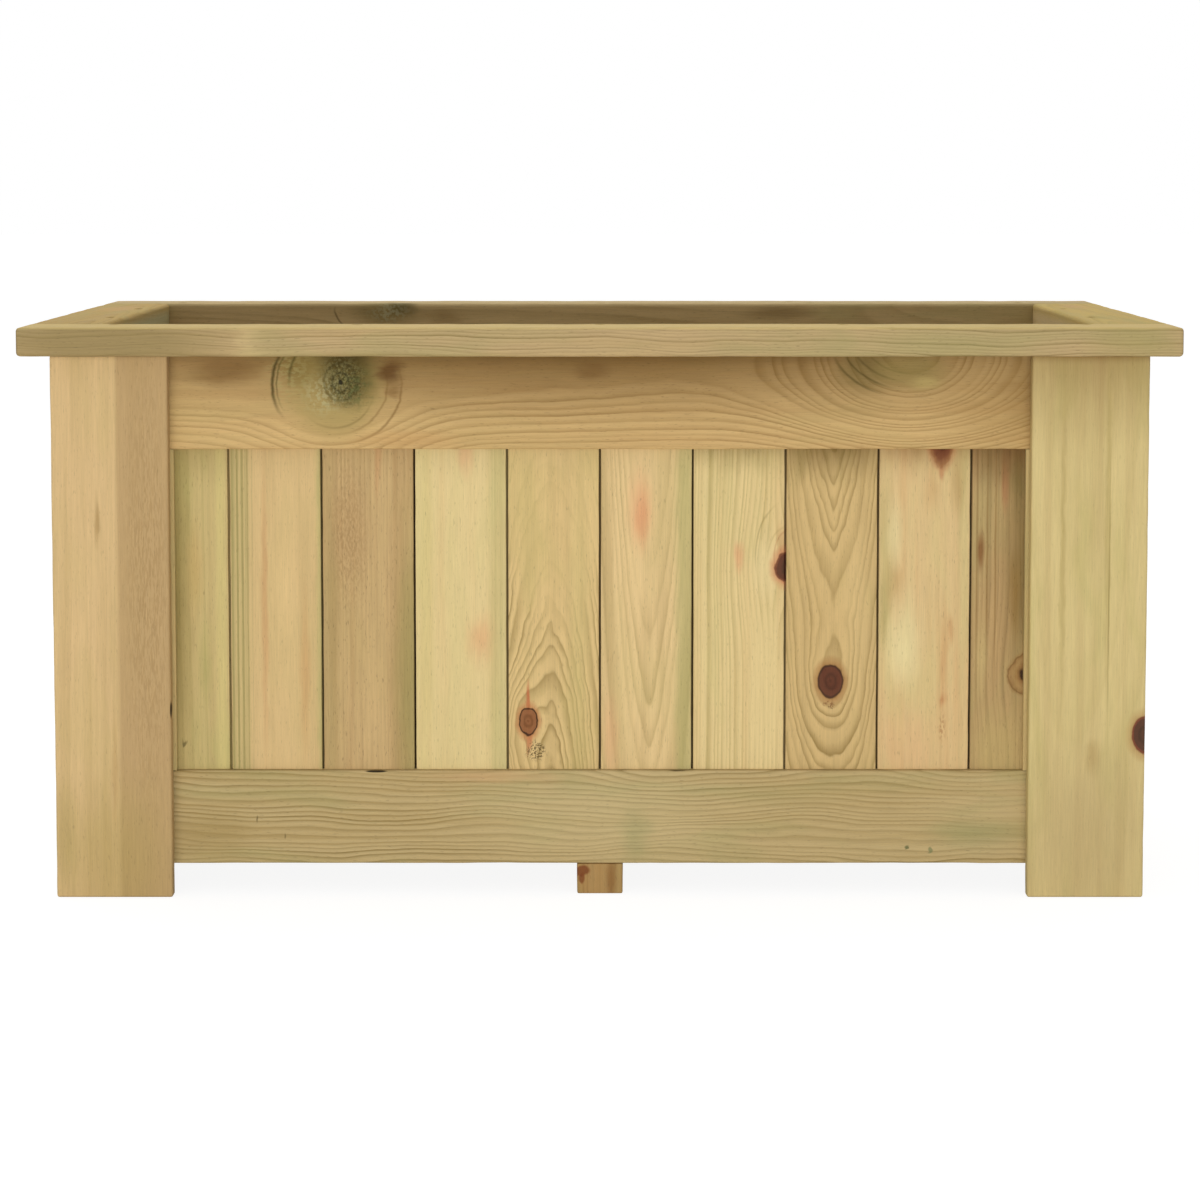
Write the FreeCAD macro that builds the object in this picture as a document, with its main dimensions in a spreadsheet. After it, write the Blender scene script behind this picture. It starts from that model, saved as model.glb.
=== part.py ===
import FreeCAD
import Part
import Sketcher
import os
from types import SimpleNamespace

# Wooden planter box: four framed walls of upright slats between corner legs, a flat rim on top and a
# slatted floor. The origin is under the middle of the box, at the ground, with +X along its length
# and the front towards -Y. All lengths are in millimetres.

# Driving sizes
sizes = {
    "rimLength": 1110,  # along the long rim boards, which run past the short ones
    "rimDepth": 600,  # over the rim from front to back
    "rimWidth": 72,
    "rimThickness": 28,
    "rimRadius": 4,
    "overhang": 27,  # the rim past the legs' faces
    "legHeight": 528,
    "legWidth": 113,  # each face of a corner leg
    "legThickness": 16,
    "legRadius": 2.5,
    "railHeight": 92,
    "railThickness": 28,
    "railRadius": 2,
    "groundClearance": 30,  # under the bottom rails
    "stileReveal": 3,  # how far a stile shows past the leg's edge
    "slatThickness": 14,
    "slatPitch": 90,  # cover width of a slat
    "slatGap": 2.5,  # seen between two slats
    "slatRadius": 1.2,
    "narrowestSlat": 27,  # a wall's outer slats are never cut narrower
    "grooveDepth": 10,  # in rails and stiles
    "grooveFit": 0.4,  # a groove is wider than what it holds by this much
    "endPlay": 1,  # left free at the closed end of a groove
    "tongueThickness": 4,
    "tongueReach": 4,  # of a slat's tongue into the next slat
    "footWidth": 45,
    "footDepth": 73,
    "footRadius": 2,
    "bearerWidth": 45,
    "bearerHeight": 45,
    "ledgerThickness": 28,
    "battenRadius": 1.5,
    "floorBoardWidth": 87,
    "floorThickness": 18,
    "floorRadius": 2,
    "floorEndPlay": 2,
    "drainGap": 3,  # the least gap between two floor boards
    "screwRadius": 2.25,
    "screwHeadRadius": 4.5,
    "screwHeadHeight": 2.8,
    "screwTip": 6,
    "screwSink": 0.6,  # a head below the wood's face
    "socketRadius": 2,
    "socketDepth": 2,
    "rimScrewLength": 60,
    "frameScrewLength": 70,
    "legScrewLength": 40,
    "floorScrewLength": 40,
    "rimScrewInset": 42,  # from the end of a rail
    "legScrewInset": 18,  # from a leg's edge
    "legScrewPitch": 33,
    "overrun": 1,  # of a cut past the face that it starts from
}

# Shares of the piece that each one places something on
rimScrewShares = (-1, -0.5, 0, 0.5, 1)
shortRimScrewShares = (-0.6, 0.6)
frameScrewShares = (0.25, 0.75)
floorScrewShares = (0.25, 0.75)

doc = FreeCAD.newDocument("PlanterBox")
sheet = doc.addObject("Spreadsheet::Sheet", "Sizes")


# A length that knows its number and the sheet formula it comes from
class Size:
    def __init__(self, number, formula):
        self.number = number
        self.formula = formula

    def __add__(self, other):
        return Size(self.number + numberOf(other), f"({self.formula} + {formulaOf(other)})")

    def __radd__(self, other):
        return self + other

    def __sub__(self, other):
        return Size(self.number - numberOf(other), f"({self.formula} - {formulaOf(other)})")

    def __rsub__(self, other):
        return -self + other

    def __mul__(self, factor):
        return Size(self.number * factor, f"({self.formula} * {factor})")

    def __rmul__(self, factor):
        return self * factor

    def __truediv__(self, divisor):
        return Size(self.number / divisor, f"({self.formula} / {divisor})")

    def __neg__(self):
        return self * -1


def numberOf(value):
    return value.number if isinstance(value, Size) else value


def formulaOf(value):
    return value.formula if isinstance(value, Size) else str(value)


def readSizes():
    named = {}
    for row, (name, number) in enumerate(sizes.items(), start=1):
        sheet.set(f"A{row}", str(number))
        sheet.setAlias(f"A{row}", name)
        named[name] = Size(number, f"Sizes.{name}")
    doc.recompute()
    return SimpleNamespace(**named)


s = readSizes()

# Places that follow from the driving sizes, measured inwards from the rim's outer edge or up
# from the ground
railFace = s.overhang + s.legThickness
railInner = railFace + s.railThickness
railMiddle = railFace + s.railThickness / 2
topRailBase = s.legHeight - s.railHeight
bottomRailTop = s.groundClearance + s.railHeight
overallHeight = s.legHeight + s.rimThickness
floorBase = s.groundClearance + s.bearerHeight
halfLength = s.rimLength / 2
halfDepth = s.rimDepth / 2
slotWidth = s.slatThickness + s.grooveFit
slotStart = (s.railThickness - slotWidth) / 2

# The four walls, each seen from outside. Along a wall, u runs to the viewer's right from its middle
# and v runs inwards from the rim's outer edge. "ends" names the viewer's left and right end.
walls = {
    "front": SimpleNamespace(turn=0, half=halfLength, across=halfDepth, ends=("left", "right"), long=True),
    "right": SimpleNamespace(turn=90, half=halfDepth, across=halfLength, ends=("front", "back"), long=False),
    "back": SimpleNamespace(turn=180, half=halfLength, across=halfDepth, ends=("right", "left"), long=True),
    "left": SimpleNamespace(turn=270, half=halfDepth, across=halfLength, ends=("back", "front"), long=False),
}
for wall in walls.values():
    wall.rimHalf = wall.half if wall.long else wall.half - s.rimWidth
    wall.legHalf = wall.half - s.overhang if wall.long else wall.half - railFace
    wall.legEdge = wall.half - s.overhang - s.legWidth
    wall.railHalf = wall.half - railFace if wall.long else wall.half - railInner
    wall.panelHalf = wall.legEdge - s.stileReveal

nodes = {}  # the finished pieces, by their names
nearlyParallel = 0.99  # of a unit vector's part along an axis
nearlyTouching = 0.01


# Documents and placing

def bind(thing, path, value):
    thing.setExpression(path, formulaOf(value))


# Stands a thing at (u, v, z) of a wall, turned to face out of that wall
def place(thing, wall, u, v, z, tilt=0):
    about = FreeCAD.Rotation(FreeCAD.Vector(0, 0, 1), wall.turn)
    thing.Placement.Rotation = about * FreeCAD.Rotation(FreeCAD.Vector(1, 0, 0), tilt)
    inward = v - wall.across
    x, y = {0: (u, inward), 90: (-inward, u), 180: (-u, -inward), 270: (inward, -u)}[wall.turn]
    bind(thing, "Placement.Base.x", x)
    bind(thing, "Placement.Base.y", y)
    bind(thing, "Placement.Base.z", z)


def keep(thing, name):
    thing.Label = name
    nodes[name] = thing


def group(name, members):
    compound = doc.addObject("Part::Compound", name)
    compound.Links = members
    return compound


# Wood

def newSketch(body, role, name):
    sketch = body.newObject("Sketcher::SketchObject", name)
    plane = next(one for one in body.Origin.OriginFeatures if one.Role == role)
    sketch.AttachmentSupport = [(plane, "")]
    sketch.MapMode = "FlatFace"
    return sketch


# A rectangle from its lowest corner, which lies on an axis where its place is zero
def addRectangle(sketch, left, low, width, height):
    x, y = numberOf(left), numberOf(low)
    w, h = numberOf(width), numberOf(height)
    corners = [FreeCAD.Vector(*point, 0) for point in ((x, y), (x + w, y), (x + w, y + h), (x, y + h))]
    first = sketch.GeometryCount
    for start, end in zip(corners, corners[1:] + corners[:1]):
        sketch.addGeometry(Part.LineSegment(start, end), False)
    for step in range(4):
        sketch.addConstraint(Sketcher.Constraint("Coincident", first + step, 2, first + (step + 1) % 4, 1))
    for step, lie in enumerate(("Horizontal", "Vertical", "Horizontal", "Vertical")):
        sketch.addConstraint(Sketcher.Constraint(lie, first + step))
    places = (("DistanceX", left, -2), ("DistanceY", low, -1))
    for kind, value, axis in places:
        if numberOf(value) == 0:
            sketch.addConstraint(Sketcher.Constraint("PointOnObject", first, 1, axis))
        else:
            index = sketch.addConstraint(Sketcher.Constraint(kind, -1, 1, first, 1, numberOf(value)))
            bind(sketch, f"Constraints[{index}]", value)
    for kind, side, value in (("DistanceX", first, width), ("DistanceY", first + 1, height)):
        index = sketch.addConstraint(Sketcher.Constraint(kind, side, 1, side, 2, numberOf(value)))
        bind(sketch, f"Constraints[{index}]", value)


# A board standing on its plan, with its lowest corner at its own origin
def newBoard(name, length, thickness, height):
    body = doc.addObject("PartDesign::Body", name)
    plan = newSketch(body, "XY_Plane", name + "_plan")
    addRectangle(plan, 0, 0, length, thickness)
    pad = body.newObject("PartDesign::Pad", name + "_pad")
    pad.Profile = plan
    bind(pad, "Length", height)
    doc.recompute()
    return body


# Cuts rectangles right through a board, square to one of its own planes
def mill(body, role, rectangles):
    sketch = newSketch(body, role, body.Name + "_cut_outline")
    for rectangle in rectangles:
        addRectangle(sketch, *rectangle)
    pocket = body.newObject("PartDesign::Pocket", body.Name + "_cut")
    pocket.Profile = sketch
    pocket.Type = "ThroughAll"
    pocket.SideType = "Symmetric"
    before = body.Shape.Volume
    doc.recompute()
    if not body.Shape.Volume < before:
        raise RuntimeError(f"{body.Name}: a cut took nothing away")


# Rounds the straight edges that a test of their middle and direction picks
def roundEdges(body, radius, wanted):
    names = []
    for index, edge in enumerate(body.Shape.Edges, start=1):
        start, end = (vertex.Point for vertex in edge.Vertexes[:2])
        if wanted((start + end) / 2, (end - start).normalize()):
            names.append(f"Edge{index}")
    base = body.Tip
    fillet = body.newObject("PartDesign::Fillet", body.Name + "_rounding")
    fillet.Base = (base, names)
    bind(fillet, "Radius", radius)
    doc.recompute()


def everyEdge(middle, along):
    return True


def alongX(middle, along):
    return abs(along.x) > nearlyParallel


# Whether a place across a board lies on its lower or upper side
def onSide(place, far):
    return min(abs(place), abs(place - numberOf(far))) < nearlyTouching


# The upright edges on a board's front and back face, which leaves those of a tongue or groove
def uprightOnFaces(thickness):
    def wanted(middle, along):
        return abs(along.z) > nearlyParallel and onSide(middle.y, thickness)
    return wanted


# Takes the screws' holes out of a board where it has any, and keeps it as a finished piece
def finish(body, name, holes=()):
    if not holes:
        keep(body, name)
        return body
    body.Label = name + "_blank"
    drilled = doc.addObject("Part::Cut", name)
    drilled.Base = body
    drilled.Tool = holes[0] if len(holes) == 1 else group(name + "_holes", list(holes))
    keep(drilled, name)
    return drilled


# Screws, with the head's top at the origin and the shank downwards

def newScrew(name, length):
    shank = doc.addObject("Part::Cylinder", name + "_shank")
    bind(shank, "Radius", s.screwRadius)
    bind(shank, "Height", length - s.screwTip - s.screwHeadHeight)
    bind(shank, "Placement.Base.z", s.screwTip - length)
    head = doc.addObject("Part::Cone", name + "_head")
    bind(head, "Radius1", s.screwRadius)
    bind(head, "Radius2", s.screwHeadRadius)
    bind(head, "Height", s.screwHeadHeight)
    bind(head, "Placement.Base.z", -s.screwHeadHeight)
    tip = doc.addObject("Part::Cone", name + "_tip")
    tip.Radius1 = 0
    bind(tip, "Radius2", s.screwRadius)
    bind(tip, "Height", s.screwTip)
    bind(tip, "Placement.Base.z", -length)
    blank = doc.addObject("Part::MultiFuse", name + "_blank")
    blank.Shapes = [shank, head, tip]
    socket = doc.addObject("Part::Prism", name + "_socket")
    socket.Polygon = 6
    bind(socket, "Circumradius", s.socketRadius)
    bind(socket, "Height", s.socketDepth + s.overrun)
    bind(socket, "Placement.Base.z", -s.socketDepth)
    screw = doc.addObject("Part::Cut", name)
    screw.Base = blank
    screw.Tool = socket
    sink = doc.addObject("Part::Cylinder", name + "_sink")
    bind(sink, "Radius", s.screwHeadRadius)
    bind(sink, "Height", s.screwSink + s.overrun)
    hole = doc.addObject("Part::MultiFuse", name + "_hole")
    hole.Shapes = [blank, sink]
    return SimpleNamespace(name=name, screw=screw, hole=hole)


down, up, inwards, outwards = 0, 180, 90, -90  # tilts of a screw in a wall's frame


# Drives a screw at each (u, v, z) of a wall and gives the holes that they need
def drive(kind, screws, name, wall, places, pointing):
    holes = []
    for index, (u, v, z) in enumerate(places, start=1):
        for source, kept in ((kind.screw, screws), (kind.hole, holes)):
            link = doc.addObject("App::Link", f"{name}_{index}_{source.Name}")
            link.LinkedObject = source
            place(link, wall, u, v, z, pointing)
            kept.append(link)
    return group(name + "_holes", holes)


# Rim: the long boards run full length and the short ones stand between them

def makeRim(side, wall, holes):
    name = side + "_rim_board"
    body = newBoard(name + "_body", wall.rimHalf * 2, s.rimWidth, s.rimThickness)
    roundEdges(body, s.rimRadius, everyEdge if wall.long else alongX)
    place(body, wall, -wall.rimHalf, 0, s.legHeight)
    finish(body, name, [holes])


def rimHoles(side, wall, screws):
    reach = wall.railHalf - s.rimScrewInset if wall.long else wall.panelHalf
    shares = rimScrewShares if wall.long else shortRimScrewShares
    places = [(reach * share, railMiddle, overallHeight - s.screwSink) for share in shares]
    return drive(rimScrew, screws, side + "_rim_screw", wall, places, down)


# Legs: on a long wall the board covers the corner, on a short one it stands behind that board

def makeLegBoards(side, wall, holes):
    width = s.legWidth if wall.long else s.legWidth - s.legThickness
    for end, direction in zip(wall.ends, (-1, 1)):
        name = f"{side}_{end}_leg_face" if wall.long else f"{end}_{side}_leg_side"
        body = newBoard(name + "_body", width, s.legThickness, s.legHeight)
        roundEdges(body, s.legRadius, everyEdge)
        place(body, wall, -wall.legHalf if direction < 0 else wall.legHalf - width, s.overhang, 0)
        finish(body, name, [holes[end]])


def legHoles(side, wall, screws):
    holes = {}
    depth = railInner - s.screwSink
    near = wall.legEdge + s.legScrewInset
    for end, direction in zip(wall.ends, (-1, 1)):
        places = []
        for base in (s.groundClearance, topRailBase):
            for u in (near, near + s.legScrewPitch):
                places.append((u * direction, depth, base + s.railHeight / 2))
        middle = (bottomRailTop + topRailBase) / 2
        places.append(((near + s.legScrewPitch / 2) * direction, depth, middle))
        holes[end] = drive(legScrew, screws, f"{side}_{end}_leg_screw", wall, places, outwards)
    return holes


# Rails: grooved along the edge that faces the slats

def makeRails(side, wall, topHoles, bottomHoles):
    for level, base, slotBase, holes in (
        ("top", topRailBase, 0, topHoles),
        ("bottom", s.groundClearance, s.railHeight - s.grooveDepth, bottomHoles),
    ):
        name = f"{side}_{level}_rail"
        body = newBoard(name + "_body", wall.railHalf * 2, s.railThickness, s.railHeight)
        roundEdges(body, s.railRadius, alongX)
        mill(body, "YZ_Plane", [(slotStart, slotBase, slotWidth, s.grooveDepth)])
        place(body, wall, -wall.railHalf, railFace, base)
        finish(body, name, holes)


# Stiles: tenons stand in the rails' grooves, and the edge towards the slats is grooved

def makeStiles(side, wall, holes):
    width = wall.railHalf - wall.panelHalf
    tenon = s.grooveDepth - s.endPlay
    height = topRailBase - bottomRailTop + tenon * 2
    cheek = slotStart + s.grooveFit / 2
    back = s.railThickness - cheek
    for end, direction in zip(wall.ends, (-1, 1)):
        name = f"{side}_{end}_stile"
        body = newBoard(name + "_body", width, s.railThickness, height)
        shoulders = [(y, z, cheek, tenon) for y in (0, back) for z in (0, height - tenon)]
        mill(body, "YZ_Plane", shoulders)
        slot = width - s.grooveDepth if direction < 0 else 0
        mill(body, "XY_Plane", [(slot, slotStart, s.grooveDepth, slotWidth)])
        u = -wall.railHalf if direction < 0 else wall.panelHalf
        place(body, wall, u, railFace, bottomRailTop - tenon)
        finish(body, name, [holes[end]])


# Slats: each has a tongue on the viewer's right and a groove on the left, but the wall's outer ones
# are cut off square there and slide into the stiles

def makeSlat(name, wall, start, cover, tongued, grooved):
    reach = s.grooveDepth - s.endPlay
    length = topRailBase - bottomRailTop + s.grooveDepth + reach
    tongue = s.slatGap + s.tongueReach
    face = cover - s.slatGap / 2 * (tongued + grooved) + reach * (2 - tongued - grooved)
    width = face + tongue * tongued
    body = newBoard(name + "_body", width, s.slatThickness, length)
    tongueStart = (s.slatThickness - s.tongueThickness) / 2
    if tongued:
        cheeks = [(face, y, tongue, tongueStart) for y in (0, tongueStart + s.tongueThickness)]
        mill(body, "XY_Plane", cheeks)
    if grooved:
        slot = (0, tongueStart - s.grooveFit / 2, s.tongueReach + s.endPlay, s.tongueThickness + s.grooveFit)
        mill(body, "XY_Plane", [slot])
    roundEdges(body, s.slatRadius, uprightOnFaces(s.slatThickness))
    u = start + s.slatGap / 2 if grooved else start - reach
    place(body, wall, u, railFace + (s.railThickness - s.slatThickness) / 2, bottomRailTop - s.grooveDepth)
    return body


def makeSlats(side, wall):
    pairs = int((numberOf(wall.panelHalf) - sizes["narrowestSlat"]) // sizes["slatPitch"])
    outer = wall.panelHalf - s.slatPitch * pairs
    starts = [-wall.panelHalf] + [s.slatPitch * step for step in range(-pairs, pairs + 1)]
    last = len(starts) - 1
    slats = []
    for index, start in enumerate(starts):
        cover = outer if index in (0, last) else s.slatPitch
        name = f"{side}_slat_{index + 1}"
        slats.append(makeSlat(name, wall, start, cover, index < last, index > 0))
    if wall.long:
        for index, slat in enumerate(slats, start=1):
            finish(slat, f"{side}_slat_{index}")
    else:
        keep(group(side + "_slats_group", slats), side + "_slats")


# Holes where the long walls' rails are screwed to the ends of the short walls' rails

def frameHoles(side, wall, screws):
    u = wall.railHalf - s.railThickness / 2
    holes = {}
    for level, base in (("top", topRailBase), ("bottom", s.groundClearance)):
        places = []
        for direction in (-1, 1):
            for share in frameScrewShares:
                places.append((u * direction, railFace + s.screwSink, base + s.railHeight * share))
        holes[level] = drive(frameScrew, screws, f"{side}_{level}_frame_screw", wall, places, inwards)
    return holes


# Floor: long boards on two ledgers and a middle bearer that stands on two feet

# A ledger's screws lie between two floor boards each, clear of the screws that come down through them
def ledgerHoles(side, wall, starts, gap, screws):
    v = railInner + s.ledgerThickness - s.screwSink
    z = s.groundClearance + s.bearerHeight / 2
    places = [(start - gap / 2 - halfDepth, v, z) for start in starts[1:]]
    return drive(floorScrew, screws, side + "_ledger_screw", wall, places, outwards)


# One screw goes up into the rail and one into the bearer, either side of the floor's own
def footHoles(side, wall, screws):
    bearerEnd = (railInner + railFace + s.footDepth) / 2
    aside = s.footWidth / 4
    places = [(-aside, railMiddle, s.screwSink), (aside, bearerEnd, s.screwSink)]
    return drive(rimScrew, screws, side + "_foot_screw", wall, places, up)


def makeFoot(side, wall, holes):
    name = side + "_foot"
    body = newBoard(name + "_body", s.footWidth, s.footDepth, s.groundClearance)
    roundEdges(body, s.footRadius, everyEdge)
    place(body, wall, -s.footWidth / 2, railFace, 0)
    finish(body, name, [holes])


def makeLedger(side, wall, holes, boardHoles):
    name = side + "_ledger"
    body = newBoard(name + "_body", wall.railHalf * 2, s.ledgerThickness, s.bearerHeight)
    roundEdges(body, s.battenRadius, alongX)
    place(body, wall, -wall.railHalf, railInner, s.groundClearance)
    finish(body, name, [holes, boardHoles])


def makeBearer(footScrews, boardHoles):
    half = walls["right"].railHalf
    body = newBoard("centre_bearer_body", half * 2, s.bearerWidth, s.bearerHeight)
    roundEdges(body, s.battenRadius, alongX)
    place(body, walls["right"], -half, halfLength - s.bearerWidth / 2, s.groundClearance)
    finish(body, "centre_bearer", [*footScrews, boardHoles])


def floorPlan():
    inside = walls["right"].railHalf * 2
    free = numberOf(inside) - sizes["drainGap"]
    count = int(free // (sizes["floorBoardWidth"] + sizes["drainGap"]))
    gap = (inside - s.floorBoardWidth * count) / (count + 1)
    starts = [gap * (step + 1) + s.floorBoardWidth * step + railInner for step in range(count)]
    return starts, gap


def floorHoles(name, u, starts, screws):
    z = floorBase + s.floorThickness - s.screwSink
    places = [(u, v + s.floorBoardWidth * share, z) for v in starts for share in floorScrewShares]
    return drive(floorScrew, screws, name, walls["front"], places, down)


def makeFloor(starts, holes):
    boards = []
    reach = halfLength - railInner - s.floorEndPlay
    for index, v in enumerate(starts, start=1):
        body = newBoard(f"floor_board_{index}", reach * 2, s.floorBoardWidth, s.floorThickness)
        roundEdges(body, s.floorRadius, alongX)
        place(body, walls["front"], -reach, v, floorBase)
        boards.append(body)
    raw = group("floor_boards_raw", boards)
    finish(raw, "floor_boards", holes)


rimScrew = newScrew("rim_screw", s.rimScrewLength)
frameScrew = newScrew("frame_screw", s.frameScrewLength)
legScrew = newScrew("leg_screw", s.legScrewLength)
floorScrew = newScrew("floor_screw", s.floorScrewLength)

rimScrews, legScrews, frameScrews, floorScrews = [], [], [], []
frameCuts = {side: frameHoles(side, walls[side], frameScrews) for side in ("front", "back")}
footCuts = {side: footHoles(side, walls[side], rimScrews) for side in ("front", "back")}
floorStarts, floorGap = floorPlan()
ledgerCuts = {}
for side in ("left", "right"):
    ledgerCuts[side] = ledgerHoles(side, walls[side], floorStarts, floorGap, floorScrews)
ledgerMiddle = halfLength - railInner - s.ledgerThickness / 2
floorCuts = {
    "left": floorHoles("left_floor_screw", -ledgerMiddle, floorStarts, floorScrews),
    "middle": floorHoles("middle_floor_screw", 0, floorStarts, floorScrews),
    "right": floorHoles("right_floor_screw", ledgerMiddle, floorStarts, floorScrews),
}

for side, wall in walls.items():
    rimCut = rimHoles(side, wall, rimScrews)
    legCuts = legHoles(side, wall, legScrews)
    if wall.long:
        topCuts = [frameCuts[side]["top"]]
        bottomCuts = [frameCuts[side]["bottom"], footCuts[side]]
    else:
        topCuts = [cuts["top"] for cuts in frameCuts.values()]
        bottomCuts = [cuts["bottom"] for cuts in frameCuts.values()] + [ledgerCuts[side]]
    makeRim(side, wall, rimCut)
    makeLegBoards(side, wall, legCuts)
    makeRails(side, wall, [rimCut, *legCuts.values(), *topCuts], [*legCuts.values(), *bottomCuts])
    makeStiles(side, wall, legCuts)
    makeSlats(side, wall)
    if wall.long:
        makeFoot(side, wall, footCuts[side])
    else:
        makeLedger(side, wall, ledgerCuts[side], floorCuts[side])

makeBearer(footCuts.values(), floorCuts["middle"])
makeFloor(floorStarts, list(floorCuts.values()))

keep(group("rim_and_foot_screws_group", rimScrews), "rim_and_foot_screws")
keep(group("leg_screws_group", legScrews), "leg_screws")
keep(group("frame_screws_group", frameScrews), "frame_screws")
keep(group("floor_screws_group", floorScrews), "floor_screws")

doc.recompute()

# Nothing is written unless every object is whole
for thing in doc.Objects:
    if "Invalid" in thing.State or "Error" in thing.State:
        raise RuntimeError(f"{thing.Label}: {thing.State}")
for name, thing in nodes.items():
    if thing.Shape.isNull() or not thing.Shape.isValid() or not thing.Shape.Solids:
        raise RuntimeError(f"{name}: its shape is not whole")

os.makedirs("parts", exist_ok=True)
for name, thing in nodes.items():
    thing.Shape.exportStep(f"parts/{name}.step")
print(len(nodes), "pieces,", sum(len(thing.Shape.Solids) for thing in nodes.values()), "solids")
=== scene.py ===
import math
import random
from functools import partial

import bmesh
import bpy
from mathutils import Matrix, Vector, noise


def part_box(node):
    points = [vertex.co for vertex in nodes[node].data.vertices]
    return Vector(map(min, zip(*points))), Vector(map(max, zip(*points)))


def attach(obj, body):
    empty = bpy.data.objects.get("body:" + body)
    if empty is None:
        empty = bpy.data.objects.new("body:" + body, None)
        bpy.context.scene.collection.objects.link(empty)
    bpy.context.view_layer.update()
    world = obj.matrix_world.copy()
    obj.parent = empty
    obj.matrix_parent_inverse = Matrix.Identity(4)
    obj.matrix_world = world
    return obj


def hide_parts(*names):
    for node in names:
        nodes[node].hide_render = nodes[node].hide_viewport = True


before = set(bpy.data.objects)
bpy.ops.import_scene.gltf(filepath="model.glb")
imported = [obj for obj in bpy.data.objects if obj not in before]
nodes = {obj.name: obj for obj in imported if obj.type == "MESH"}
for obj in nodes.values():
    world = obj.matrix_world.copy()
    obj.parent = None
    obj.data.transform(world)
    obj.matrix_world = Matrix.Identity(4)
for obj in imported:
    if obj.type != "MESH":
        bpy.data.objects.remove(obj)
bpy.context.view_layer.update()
print("frame loaded:", len(nodes), "nodes")

mm = 0.001
axisOf = {
    "x": Vector((1, 0, 0)), "y": Vector((0, 1, 0)), "z": Vector((0, 0, 1)),
    "-x": Vector((-1, 0, 0)), "-y": Vector((0, -1, 0)), "-z": Vector((0, 0, -1)),
}
tiny = {"cut": 1e-7, "face": 1e-5, "weld": 1e-6, "end": 3e-4}  # metres within which places count as one


def linear(hexText, alpha=1.0):  # sRGB hex to the linear colour that nodes take
    parts = [int(hexText[place:place + 2], 16) / 255 for place in (1, 3, 5)]
    return tuple(c / 12.92 if c <= 0.04045 else ((c + 0.055) / 1.055) ** 2.4 for c in parts) + (alpha,)


# Adds a node with its settings. Its inputs are a list in their order, or a dictionary, of numbers,
# colours, sockets or other nodes
def addNode(tree, kind, inputs=(), operation=None, **settings):
    made = tree.nodes.new("ShaderNode" + kind)
    if operation:
        made.operation = operation
    for name, value in settings.items():
        setattr(made, name, value)
    for key, value in inputs.items() if isinstance(inputs, dict) else enumerate(inputs):
        if isinstance(value, bpy.types.Node):
            value = next(socket for socket in value.outputs if socket.enabled)
        if isinstance(value, bpy.types.NodeSocket):
            tree.links.new(value, made.inputs[key])
        else:
            made.inputs[key].default_value = value
    return made


def newMaterial(name):
    material = bpy.data.materials.new(name)
    material.use_nodes = True
    material.node_tree.nodes.clear()
    return material, material.node_tree


def setRamp(rampNode, stops):
    ramp = rampNode.color_ramp
    ramp.interpolation = "LINEAR"
    while len(ramp.elements) > 1:
        ramp.elements.remove(ramp.elements[-1])
    for index, (position, colour) in enumerate(stops):
        element = ramp.elements[0] if index == 0 else ramp.elements.new(position)
        element.position = position
        element.color = colour


# Reaches of marks, in millimetres: down a whole slat, along a whole wall, and right through a board
wholeBoard = 2000
wholeWall = 5000
throughBoard = (0, 1e6)  # from the log's middle

# What any board has, before its own values; lengths in millimetres
pine = {
    "light": "#d6bf88",  # earlywood
    "dark": "#a88f58",  # latewood
    "pith": (0, 40),  # across the board, and behind its face
    "slope": (0.0, 0.03),  # how the pith wanders over the length
    "spacing": 5.0,  # of the yearly rings
    "contrast": 0.45,
    "wave": (3.0, 0.5, 0.25),  # height of the grain's long, short and very short waves
    "waveLength": (260, 45, 14),
    "calm": [],  # where the rings fade
    "faintest": 0.45,  # how far they fade elsewhere, in patches
    "weakest": 0.35,  # the palest year against the darkest
    "uneven": 2.2,  # how far the years' widths differ
    "unevenOver": 3.1,  # and over how many years
    "streak": ("#b59a68", 0.35),  # long soft streaks
    "streakWidth": 14,
    "green": ("#a3a066", 0.25),  # left by the preservative
    "fibre": 0.07,
    "flecks": 0.25,
    "stains": [],
    "knots": [],
    "roughness": (0.61, 0.77),
    "gloss": 0.12,  # the cut fibres scatter most of what a smooth surface would mirror
    "endGrain": "#9c8450",  # drinks more of the preservative and comes out darker
}

# Sizes of the pine's patterns across the grain and along it. Real fibres are far finer than a pixel,
# so they are drawn about 1 mm wide
grain = {
    "waves": (60, 16, 9),  # across only, since a board has its own lengths
    "patches": (55, 210),
    "streaks": 420,  # along only, since a board has its own width
    "soaked": (38, 150),
    "frayed": (9, 34),
    "frayReach": (7, 26),  # how far it moves a stain's edge
    "jitter": (9, 9),
    "fibres": (1.1, 32),
    "flecks": (0.9, 6.5),
    "apart": 4000,  # how far apart in the noise two boards may lie
}


def span(start, full):
    return {"From Min": start, "From Max": full}


# Where the noise of each pattern starts to show and where it shows fully
shows = {
    "patches": span(0.35, 0.62),
    "streak": span(0.42, 0.68),
    "green": span(0.45, 0.7),
    "specks": span(0.45, 0.58),
    "flecks": span(0.64, 0.78),
    "fibres": span(0.25, 0.75),
    "dull": span(0.3, 0.7),
    "knots": span(1.1, 0.9),  # of a knot's radius
    "ends": {**span(0.6, 0.95), "To Max": 0.75},  # how far a face looks along the board, and its share
}
relief = {"rings": 0.5, "knots": -0.8, "height": 0.00022}  # shares of the height, which is in metres
ringShades = [(0.0, 0.25), (0.12, 0.0), (0.45, 0.12), (0.8, 0.75), (0.92, 1.0), (1.0, 0.3)]  # over one year

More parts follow.
